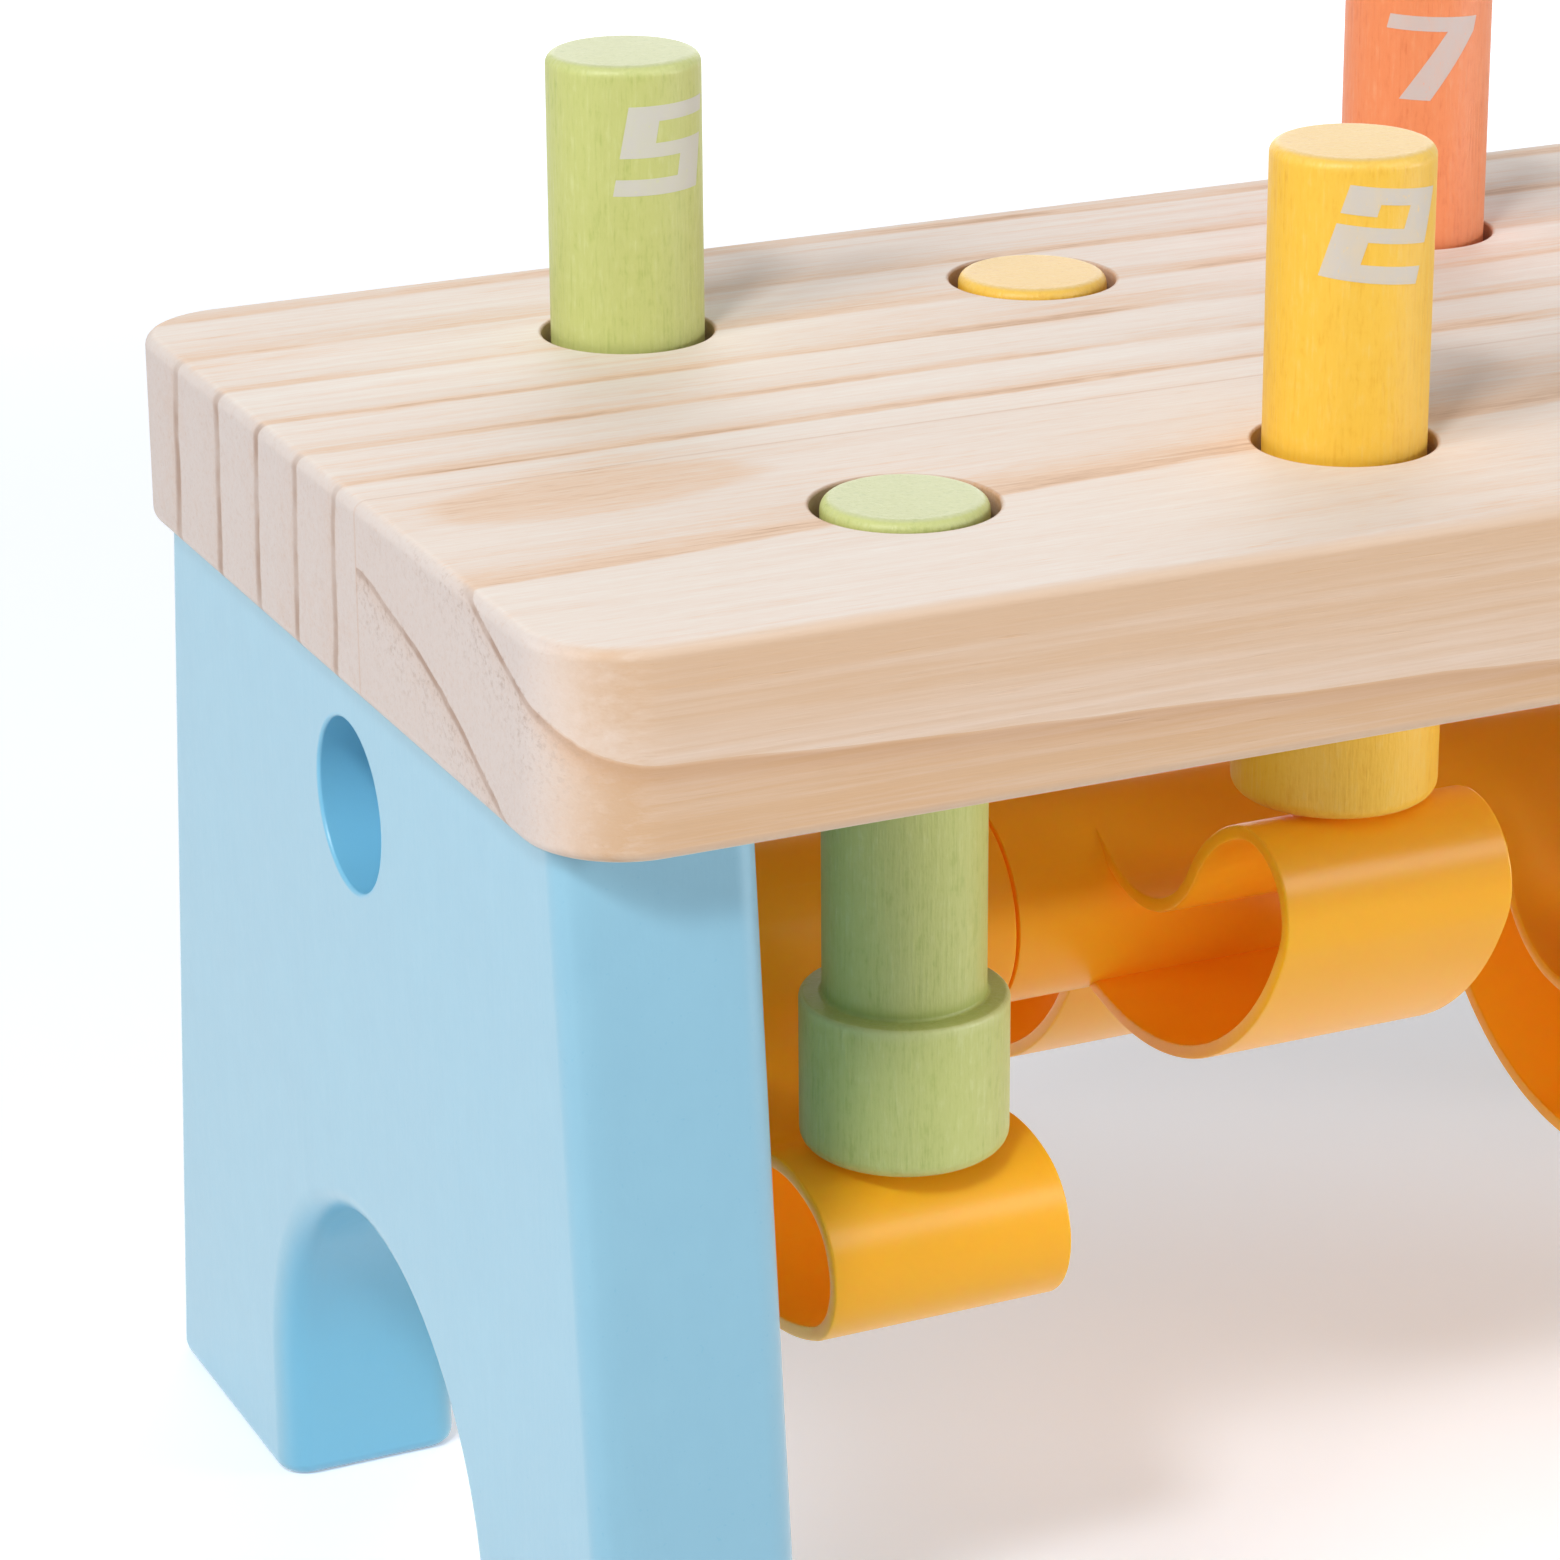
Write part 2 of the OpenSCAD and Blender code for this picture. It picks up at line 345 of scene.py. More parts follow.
class Term:
    """A shader socket that takes part in Python arithmetic."""

    __add__, __radd__ = math_node("ADD"), math_node("ADD", swapped=True)
    __sub__, __rsub__ = math_node("SUBTRACT"), math_node("SUBTRACT", swapped=True)
    __mul__, __rmul__ = math_node("MULTIPLY"), math_node("MULTIPLY", swapped=True)
    __truediv__, __rtruediv__ = math_node("DIVIDE"), math_node("DIVIDE", swapped=True)
    __pow__, __rpow__ = math_node("POWER"), math_node("POWER", swapped=True)
    __abs__ = math_node("ABSOLUTE")
    low, high = math_node("MINIMUM"), math_node("MAXIMUM")
    wrap, root = math_node("FRACT"), math_node("SQRT")

    def __init__(self, shader: "Shader", socket: bpy.types.NodeSocket) -> None:
        """Wraps an output socket of a shader's node tree."""
        self.shader = shader
        self.socket = socket

    def to(self, other: "Term", share: "Term") -> "Term":
        """Goes over to another value as a share rises from 0 to 1."""
        return self + (other - self) * share

    def step(self, start: float, end: float) -> "Term":
        """A smooth rise from 0 at one value to 1 at another."""
        settings = {"interpolation_type": "SMOOTHSTEP"}
        values = {"Value": self, "From Min": start, "From Max": end}
        return self.shader.node("ShaderNodeMapRange", settings, values, "Result")

    def band(self, start: float, full: float, fade: float, end: float) -> "Term":
        """A smooth rise from 0 to 1 that falls back to 0 further on."""
        return self.step(start, full) * (1 - self.step(fade, end))


Value = Union[Term, float, int]


class Shader:
    """A material's or a world's node tree, grown by expressions."""

    def __init__(self, name: str, world: bool = False) -> None:
        """Starts a material with a Principled shader, or a world with a Background."""
        self.owner = bpy.data.worlds.new(name) if world else bpy.data.materials.new(name)
        self.owner.use_nodes = True
        self.tree = self.owner.node_tree
        self.surface = self.tree.nodes["Background" if world else "Principled BSDF"]

    def node(self, kind: str, settings: Optional[Dict[str, Any]] = None,
             values: Optional[Dict[Union[str, int], Any]] = None, out: Union[str, int] = 0) -> Term:
        """Adds a node.

        Args:
            kind: The node's type.
            settings: Its properties, set first. "stops" fills a ramp with (place, colour) pairs.
            values: Numbers, colours or terms for its input sockets.
            out: The output socket that is returned.

        Returns:
            The node's output as a term.
        """
        made = self.tree.nodes.new(kind)
        for key, setting in (settings or {}).items():
            if key == "stops":
                Shader.fill_ramp(made.color_ramp, setting)
            else:
                setattr(made, key, setting)
        for key, value in (values or {}).items():
            self.feed(made.inputs[key], value)
        return Term(self, made.outputs[out])

    @staticmethod
    def fill_ramp(ramp: bpy.types.ColorRamp, stops: Sequence[Tuple[float, Colour]]) -> None:
        """Sets a colour ramp's stops."""
        while len(ramp.elements) < len(stops):
            ramp.elements.new(1.0)
        for element, (place, colour) in zip(ramp.elements, stops):
            element.position = place
            element.color = (*colour, 1.0)

    def feed(self, socket: bpy.types.NodeSocket, value: Any) -> None:
        """Links a term to a socket, or sets a number, colour or vector on it."""
        if isinstance(value, Term):
            self.tree.links.new(value.socket, socket)
        elif isinstance(value, (int, float)):
            socket.default_value = value
        elif len(value) < len(socket.default_value):
            socket.default_value = (*value, 1.0)
        else:
            socket.default_value = value

    def place(self, centre: Point = (0, 0, 0), scale: Point = (1, 1, 1)) -> Term:
        """Object coordinates in millimetres from a centre, stretched by a scale."""
        spot = self.node("ShaderNodeTexCoord", out="Object")
        sizes = [share / MM for share in scale]
        offset = [-middle * share for middle, share in zip(centre, scale)]
        return self.node("ShaderNodeMapping", None, {"Vector": spot, "Location": offset, "Scale": sizes})

    def axes(self, centre: Point = (0, 0, 0)) -> Tuple[Term, Term, Term]:
        """The distances from a centre along X, Y and Z, in millimetres."""
        parts = self.node("ShaderNodeSeparateXYZ", None, {"Vector": self.place(centre)})
        return tuple(Term(self, part) for part in parts.socket.node.outputs)

    def noise(self, scale: Point, detail: float, rough: float, centre: Point = (0, 0, 0)) -> Term:
        """Noise from 0 to 1, with a scale for each axis."""
        values = {"Vector": self.place(centre, scale), "Scale": 1.0, "Detail": detail, "Roughness": rough}
        return self.node("ShaderNodeTexNoise", None, values)

    def rays(self) -> Tuple[Term, Term]:
        """Whether a ray comes from the camera, and whether it comes off a gloss."""
        return tuple(self.node("ShaderNodeLightPath", out=f"Is {kind} Ray") for kind in ("Camera", "Glossy"))

    def mix(self, first: Any, second: Any, share: Value) -> Term:
        """Mixes two colours."""
        return self.node("ShaderNodeMix", {"data_type": "RGBA"}, {0: share, 6: first, 7: second}, 2)

    def layers(self, ground: Any, *coats: Tuple[Any, Value]) -> Any:
        """Lays colours over a ground colour in turn, each by its share."""
        for colour, share in coats:
            ground = self.mix(ground, colour, share)
        return ground

    def bump(self, height: Term, depth: float, strength: float) -> Term:
        """A normal from a height of 0 to 1, whose full step is depth in millimetres."""
        values = {"Height": height, "Distance": depth * MM, "Strength": strength}
        return self.node("ShaderNodeBump", None, values, "Normal")

    def finish(self, **values: Any) -> Union[Material, bpy.types.World]:
        """Feeds the sockets of the surface's shader.

        Args:
            values: Numbers, colours or terms, by the sockets' names in lower case with underscores.

        Returns:
            The finished material or world.
        """
        sockets = {socket.name.lower().replace(" ", "_"): socket for socket in self.surface.inputs}
        for key, value in values.items():
            self.feed(sockets[key], value)
        return self.owner


def worn_edge(first: Term, second: Term, third: Term) -> Term:
    """The middle of three distances to faces, which is small only where two faces meet."""
    smaller, larger = first.low(second), first.high(second)
    return smaller.high(larger.low(third))


@dataclass(frozen=True)
class PineFinish:
    """Sanded pine, glued up from a flat-sawn front strip and a quarter-sawn back strip."""

    pale: Colour = srgb(243, 235, 227)
    cream: Colour = srgb(239, 223, 211)
    tan: Colour = srgb(237, 206, 180)
    late: Colour = srgb(200, 157, 122)
    sawn: Colour = srgb(215, 174, 131)
    end: Colour = srgb(206, 196, 194)
    ring: Colour = srgb(166, 138, 122)
    burn_and_shade: Colour = srgb(172, 112, 50)
    glue_y: float = -10.3
    pith_y: float = -2.0
    pith_z: float = 48.0
    flatten: float = 0.87
    ring_r: float = 80.9
    ring_gap: float = 13.0
    pith_slope: float = 0.0245
    back_y: float = 41.9
    back_lean: float = 0.05
    back_rate: float = 0.0745
    back_growth: float = 0.000239
    patch: Flat = (-95.0, -17.0)
    patch_size: Flat = (19.0, 7.5)

    def material(self, board: "Board") -> Material:
        """Grain in three dimensions, so that faces, edges and end grain agree.

        Args:
            board: The board, for its edges and holes.

        Returns:
            The board's material.
        """
        shader = Shader("pine")
        x, y, z = shader.axes()

        # Growth rings of the front strip round its pith, and of the back strip in slightly leaning sheets
        ripple = shader.noise((0.024, 0.13, 0.13), 3.0, 0.55) - 0.5
        warp = (shader.noise((0.011, 0.02, 0.02), 2.0, 0.45) - 0.5) * 6.0 + ripple * 2.6
        side = ((y - self.pith_y) * self.flatten) ** 2
        reach = (side + (z - self.pith_z) ** 2).root() + (x + board.length / 2) * self.pith_slope
        front = ((reach + warp * 0.55 - self.ring_r) / self.ring_gap).wrap()
        middle_z = board.bottom + board.thick / 2
        sheet = self.back_y - (y + (z - middle_z) * self.back_lean) + warp * 0.5
        back = (sheet * self.back_rate + sheet ** 2 * self.back_growth).wrap()
        in_front = 1 - y.step(self.glue_y - 0.15, self.glue_y + 0.15)
        soft_front, line_front = front.band(0.72, 1.0, 0.975, 1.0), front.band(0.86, 0.97, 0.975, 1.0)
        soft_back, line_back = back.band(0.3, 1.0, 0.93, 1.0), back.band(0.72, 0.93, 0.93, 1.0)
        along = (x - self.patch[0]) / self.patch_size[0]
        across = (y - self.patch[1]) / self.patch_size[1]
        tongue = 1 - ((along ** 2 + across ** 2).root() + ripple * 0.9).step(0.7, 1.05)
        soft = soft_back.to(soft_front * 1.1 + tongue * 0.75 + 0.12, in_front)
        line = line_back.to(line_front * 0.5, in_front)

        # Fibres, stains and flecks along the grain
        streak = shader.noise((0.008, 0.7, 0.7), 4.0, 0.6)
        fibre = shader.noise((0.06, 1.8, 1.8), 3.0, 0.6)
        fine = shader.noise((0.35, 5.0, 5.0), 2.0, 0.6)
        cloud = shader.noise((0.014, 0.035, 0.035), 2.0, 0.5)
        stain = shader.noise((0.03, 0.26, 0.26), 4.0, 0.6).step(0.5, 0.72)
        fleck = shader.noise((0.16, 3.2, 3.2), 1.0, 0.4).step(0.7, 0.8)
        broken = shader.noise((0.03, 0.2, 0.2), 2.0, 0.5).step(0.36, 0.68)
        calm = 1 - in_front * 0.5
        tone = soft * (in_front * 0.14 + 0.2) + line * (broken * 0.3 + 0.04) + (streak - 0.5) * calm * 0.6
        tone = tone + (cloud - 0.5) * 0.4 + (fibre - 0.5) * 0.5 + (fine - 0.5) * 0.5
        tone = tone + stain * calm * 0.22 + fleck * 0.2 + 0.22
        stops = [(0.0, self.pale), (0.33, self.cream), (0.62, self.tan), (1.0, self.late)]
        grain = shader.node("ShaderNodeValToRGB", {"stops": stops}, {"Fac": tone})

        # End grain and long sides
        past_x = (abs(x) - (board.length / 2 - board.corner_r)).high(0.0)
        past_y = (abs(y) - (board.width / 2 - board.corner_r)).high(0.0)
        spread = past_x ** 2 + past_y ** 2
        rim = spread.root().step(board.corner_r - 1.1, board.corner_r - 0.2)
        facing_x = (past_x ** 2 / spread.high(0.01)) ** 2
        ends, sides = rim * facing_x, rim * (1 - facing_x)
        lower = 1 - z.step(board.bottom + 1.0, board.bottom + board.thick * 0.7)
        early = (1 - front.step(0.02, 0.45)) * in_front
        sawing = early * 0.4 + (streak - 0.46) * 1.3 + (fibre - 0.5) * 0.7
        plank = shader.mix(self.sawn, self.cream, sawing)
        cut = line_back.to(line_front, in_front)
        pores = shader.noise((0.9, 2.6, 2.6), 3.0, 0.6)
        speckle = shader.noise((1.1, 1.3, 1.5), 4.0, 0.75).step(0.48, 0.72)
        dense = front.step(0.3, 1.0) * in_front * 0.5 + 0.12

        # Glue line, hole walls darkened partly by drill burn and partly as painted shade, and worn edges
        seam = 1 - abs(y - self.glue_y).step(0.05, 0.3)
        to_column = abs(abs(x) - board.column_pitch) - board.column_pitch / 2
        to_row = abs(y) - board.row_pitch / 2
        from_hole = (to_column ** 2 + to_row ** 2).root()
        # wall: the hole walls, darkened partly as drill burn and partly as painted shade of the hole
        wall = (1 - from_hole.step(board.hole_r + 0.05, board.hole_r + 0.45)) * (pores * 0.5 + 0.6).low(1.0)
        to_face = (z - board.bottom).low(board.top - z)
        edge = 1 - worn_edge(board.length / 2 - abs(x), board.width / 2 - abs(y), to_face).step(0.2, 1.6)

        colour = shader.layers(
            grain, (plank, sides * (lower * 0.12 + 0.78)), (self.end, ends * 0.75),
            (self.ring, ends * cut.step(0.4, 0.95) * (broken * 0.45 + 0.4)),
            (self.late, sides * in_front * (soft_front * 0.3 + line_front * 0.25)),
            (self.late, ends * pores.step(0.5, 0.8) * 0.25), (self.ring, ends * speckle * dense),
            (self.late, seam * 0.3), (self.burn_and_shade, wall * 0.6),
            (self.pale, edge * (cloud + 0.2).low(1.0) * 0.35))
        rough = 0.56 + soft * 0.08 + fibre * 0.14 - edge * 0.08
        height = fibre * 0.5 + fine * 0.4 - fleck * 0.3
        return shader.finish(base_color=colour, roughness=rough, normal=shader.bump(height, 0.1, 0.5))


@dataclass(frozen=True)
class PanelPaint:
    """Satin paint on a solid wood panel, with a slight orange peel and a trace of the grain beneath."""

    colour: Colour = srgb(138, 192, 218)
    light: Colour = srgb(155, 209, 231)
    deep: Colour = srgb(107, 179, 212)
    painted_bounce_blue: Colour = srgb(110, 190, 226)

    def material(self, panel: "LegPanel") -> Material:
        """The panels' material.

        Args:
            panel: The panel, for its edges.

        Returns:
            The material of both panels.
        """
        shader = Shader("panel_paint")
        x, y, z = shader.axes()
        peel = shader.noise((0.9, 0.9, 0.9), 3.0, 0.55)
        grain = shader.noise((0.8, 0.8, 0.035), 3.0, 0.6)
        cloud = shader.noise((0.03, 0.03, 0.02), 3.0, 0.55)
        blotch = shader.noise((0.22, 0.22, 0.17), 2.0, 0.5)
        speck = shader.noise((2.2, 2.2, 2.2), 1.0, 0.5).step(0.7, 0.78)

        to_face = (abs(x) - panel.inner_x).low(panel.inner_x + panel.thick - abs(x))
        lean = (panel.foot_depth - panel.top_depth) / 2 / panel.height
        to_side = panel.foot_depth / 2 - z * lean - abs(y)
        in_arch = (y ** 2 + (z - panel.arch_spring).high(0.0) ** 2).root() - panel.arch_width / 2
        in_hole = (y ** 2 + (z - panel.hole_z) ** 2).root() - panel.hole_r
        # inside marks the arch and the handle hole, whose walls get a stronger blue as painted bounce light
        # from the blue around them
        inside = 1 - in_arch.step(0.2, 2.2).low(in_hole.step(0.1, 0.6))
        edge = 1 - worn_edge(to_face, to_side, in_arch).step(0.3, 2.0)
        rub = edge * (cloud * 1.4 - 0.25)

        shade = (cloud - 0.35) * 0.5 + (grain - 0.5) * 0.12 + (blotch - 0.5) * 0.3
        colour = shader.layers(
            self.colour, (self.light, shade), (self.light, rub.step(0.1, 0.9) * 0.6),
            (self.deep, speck * 0.25 + (1 - z.step(0.0, 9.0)) * cloud * 0.25), (self.painted_bounce_blue, inside * 0.8))
        rough = 0.3 + cloud * 0.1 + peel * 0.08 - rub * 0.05
        height = peel * 0.5 + grain * 0.4 + cloud * 0.6
        return shader.finish(base_color=colour, roughness=rough, normal=shader.bump(height, 0.1, 0.4),
                             coat_weight=0.35, coat_roughness=0.25)


@dataclass(frozen=True)
class PegPaint:
    """Thin satin paint on a turned dowel, which lets the upright grain show."""

    name: str
    colour: Colour
    light: Colour
    deep: Colour
    # top: a pale grey laid over the top face as a painted sheen, standing in for the bright reflection the
    # tops catch
    top: Colour = srgb(214, 214, 212)

    def material(self, name: str, peg: "Peg", centre: Point) -> Material:
        """One peg's material.

        Args:
            name: The material's name.
            peg: The peg's sizes, for its edges.
            centre: The middle of the peg's underside.

        Returns:
            The material.
        """
        shader = Shader(name)
        x, y, z = shader.axes(centre)
        grain = shader.noise((1.7, 1.7, 0.08), 4.0, 0.65, centre)
        pore = shader.noise((2.6, 2.6, 0.22), 2.0, 0.5, centre)
        cloud = shader.noise((0.11, 0.11, 0.06), 3.0, 0.55, centre)
        mottle = shader.noise((0.75, 0.75, 0.75), 3.0, 0.6, centre)
        fleck = shader.noise((2.4, 2.4, 0.55), 2.0, 0.6, centre)

        radius = (x ** 2 + y ** 2).root()
        on_foot = 1 - z.step(peg.foot_height - 0.1, peg.foot_height + 0.1)
        rim = peg.radius + on_foot * (peg.foot_radius - peg.radius)
        to_ledge = abs(z - peg.foot_height) + (1 - on_foot) * 9.0
        to_end = z.low(to_ledge).low(peg.foot_height + peg.length - z)
        edge = (1 - to_end.step(0.1, 1.5)) * (radius - rim).step(-1.7, -0.2)
        rub = edge * (cloud + mottle * 0.4).low(1.0)
        # Painted shade: the body is darkened just above the foot's ledge, where the two meet, as a contact
        # shadow
        painted_ledge_shade = (1 - (z - peg.foot_height).step(0.1, 1.8)) * (1 - on_foot)
        # ends marks the top face, which takes the top tint below as a painted sheen
        ends = (z - peg.foot_height - peg.length).step(-0.3, -0.02)

        tone = (cloud - 0.5) * 0.8 + (grain - 0.5) * 1.4 + (mottle - 0.5) * 0.8 + (fleck - 0.5) * 1.1
        colour = shader.layers(
            self.colour, (self.light, tone.step(0.0, 0.7) * 0.6),
            (self.deep, (0 - tone).step(0.02, 0.6) * 0.8), (self.deep, pore.step(0.6, 0.78) * 0.45),
            (self.light, rub * 0.7), (self.deep, painted_ledge_shade * 0.8), (self.top, ends * 0.25))
        rough = 0.36 + cloud * 0.12 + pore * 0.06 - rub * 0.06
        height = grain * 0.6 + pore * 0.3 + mottle * 0.4 + fleck * 0.4
        return shader.finish(base_color=colour, roughness=rough, normal=shader.bump(height, 0.24, 0.6))


@dataclass(frozen=True)
class PrintInk:
    """Pale ink of the printed numbers, thin enough to take on a little of the paint below."""

    white: Colour = srgb(206, 205, 207)
    cover: float = 0.7

    def material(self, name: str, paint: PegPaint) -> Material:
        """The ink on one colour of paint."""
        shader = Shader(name)
        patch = shader.noise((0.5, 0.5, 0.3), 3.0, 0.6)
        speck = shader.noise((2.4, 2.4, 1.2), 2.0, 0.6)
        thin = (patch - 0.5) * 0.3 + speck.step(0.62, 0.8) * 0.35 + (1 - self.cover)
        colour = shader.mix(self.white, paint.light, thin.step(0.0, 1.0))
        return shader.finish(base_color=colour, roughness=0.5 + patch * 0.12,
                             normal=shader.bump(speck, 0.03, 0.4))


@dataclass(frozen=True)
class RockerPlastic:
    """Glossy moulded plastic with a little depth, and a faint painted glow (emission) that brightens its
    shaded parts.
    """

    colour: Colour = srgb(251, 187, 43)
    warm: Colour = srgb(250, 178, 30)
    pale: Colour = srgb(252, 202, 92)
    painted_glow_tint: Colour = (1.0, 0.24, 0.0)
    painted_glow: float = 0.085
    gloss: float = 0.32
    clearness: float = 0.5
    depth: float = 2.5
    depth_by_colour: Colour = (1.0, 0.42, 0.06)

    def material(self) -> Material:
        """The rockers' material."""
        shader = Shader("rocker_plastic")
        flow = shader.noise((0.03, 0.06, 0.06), 2.0, 0.5)
        skin = shader.noise((1.8, 1.8, 1.8), 2.0, 0.5)
        scuff = shader.noise((0.05, 1.6, 0.5), 3.0, 0.6).step(0.6, 0.8)
        warmth = flow.step(0.35, 0.75) * 0.45
        colour = shader.layers(self.colour, (self.warm, warmth), (self.pale, scuff * 0.12))
        rough = 0.3 + flow * 0.06 + scuff * 0.08 + skin * 0.03
        # The emission is painted light: a faint orange glow that lifts the plastic where it lies in shade.
        return shader.finish(base_color=colour, roughness=rough, normal=shader.bump(skin, 0.005, 0.35),
                             specular_ior_level=self.gloss, subsurface_weight=self.clearness,
                             subsurface_radius=self.depth_by_colour, subsurface_scale=self.depth * MM,
                             emission_color=self.painted_glow_tint, emission_strength=self.painted_glow)


@dataclass(frozen=True)
class DowelWood:
    """Plain turned hardwood, for the axle and the joining dowels."""

    pale: Colour = srgb(226, 196, 156)
    dark: Colour = srgb(190, 148, 104)

    def material(self, name: str, scale: Point) -> Material:
        """Dowel wood whose grain runs along the axis with the small scale."""
        shader = Shader(name)
        grain = shader.noise(scale, 4.0, 0.6)
        cloud = shader.noise((0.05, 0.05, 0.05), 2.0, 0.5)
        colour = shader.mix(self.pale, self.dark, grain.step(0.35, 0.8) * 0.8)
        return shader.finish(base_color=colour, roughness=0.5 + cloud * 0.2,
                             normal=shader.bump(grain, 0.1, 0.4))


@dataclass
class Board:
    """The top board with its peg holes."""

    length: float = extent("top_board").x
    width: float = extent("top_board").y
    thick: float = extent("top_board").z
    bottom: float = corner("top_board").z
    corner_r: float = 10.0
    corner_steps: int = 14
    edge_r: float = 1.25
    edge_steps: int = 5
    hole_r: float = 9.0
    rim_r: float = 0.3
    column_pitch: float = corner("peg_2").x - corner("peg_1").x
    row_pitch: float = corner("peg_5").y - corner("peg_1").y
    finish: PineFinish = field(default_factory=PineFinish)

    @property
    def top(self) -> float:
        """Height of the board's upper face."""
        return self.bottom + self.thick

    def drill(self) -> Piece:
        """One tool for all the holes, in the pegs' order."""
        first = drill_bit("drill", self.hole_r, self.rim_r, (self.bottom, self.top))
        bits = []
        for row in range(ROWS):
            for column in range(COLUMNS):
                bit = twin(first, f"drill_{len(bits)}")
                move(bit, (column_x(column, self.column_pitch), (row - 0.5) * self.row_pitch, 0))
                bits.append(bit)
        bpy.data.objects.remove(first)
        return joined(bits)

    def build(self) -> Piece:
        """Saws, rounds and drills the board.

        Returns:
            The finished board.
        """
        board = begin("pine_board", bpy.ops.mesh.primitive_cube_add, size=MM)
        board.scale = (self.length, self.width, self.thick)
        move(board, (0, 0, self.bottom + self.thick / 2))
        soften(board, self.corner_r, self.corner_steps, lambda a, b: abs(a.z - b.z) > self.thick / 2)
        for level in (self.bottom, self.top):
            soften(board, self.edge_r, self.edge_steps,
                   lambda a, b: max(abs(a.z - level), abs(b.z - level)) < NEAR)
        combine(board, self.drill(), "DIFFERENCE")
        smooth(board)
        dress(board, self.finish.material(self))
        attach(board, "bench")
        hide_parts("top_board")
        return board


@dataclass
class LegPanel:
    """The two painted leg panels."""

    inner_x: float = corner("right_leg_panel").x
    thick: float = extent("right_leg_panel").x
    height: float = extent("right_leg_panel").z
    top_depth: float = 108.6
    foot_depth: float = extent("right_leg_panel").y
    arch_width: float = 56.0
    arch_height: float = 41.5
    arch_steps: int = 40
    edge_r: float = 3.2
    edge_steps: int = 6
    foot_r: float = 1.5
    foot_steps: int = 3
    hole_r: float = 8.75
    hole_z: float = 87.8
    rim_r: float = 0.4
    finish: PanelPaint = field(default_factory=PanelPaint)

    @property
    def arch_spring(self) -> float:
        """Height at which the arch starts to curve."""
        return self.arch_height - self.arch_width / 2

    def outline(self) -> List[Flat]:
        """The panel's outline with its arch."""
        foot, top, half = self.foot_depth / 2, self.top_depth / 2, self.arch_width / 2
        bow = arc((0, self.arch_spring), half, 180, 0, self.arch_steps)
        return [(-foot, 0), (-half, 0), *bow, (half, 0), (foot, 0), (top, self.height), (-top, self.height)]

    def build(self) -> List[Piece]:
        """Saws, rounds and drills the right panel, turns a copy half round for the left, and paints both.

        Returns:
            The right and the left panel.
        """
        right = draw("right_panel", self.outline(), Plane.ACROSS, closed=True)
        pull(right, (self.thick, 0, 0))
        move(right, (self.inner_x, 0, 0))

        def long_edge(a: Vector, b: Vector) -> bool:
            """Whether an edge lies in a face's outline, and neither on the floor nor under the board."""
            return abs(a.x - b.x) < NEAR and max(a.z, b.z) > NEAR and min(a.z, b.z) < self.height - NEAR

        soften(right, self.edge_r, self.edge_steps, long_edge)
        soften(right, self.foot_r, self.foot_steps, lambda a, b: max(a.z, b.z) < NEAR)
        bit = drill_bit("handle_drill", self.hole_r, self.rim_r, (0, self.thick))
        move(bit, (self.inner_x, 0, self.hole_z), (0, 90, 0))
        combine(right, bit, "DIFFERENCE")
        left = twin(right, "left_panel")
        move(left, turn=(0, 0, 180))
        material = self.finish.material(self)
        for piece, node in ((right, "right_leg_panel"), (left, "left_leg_panel")):
            smooth(piece)
            dress(piece, material)
            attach(piece, "bench")
            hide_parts(node)
        return [right, left]


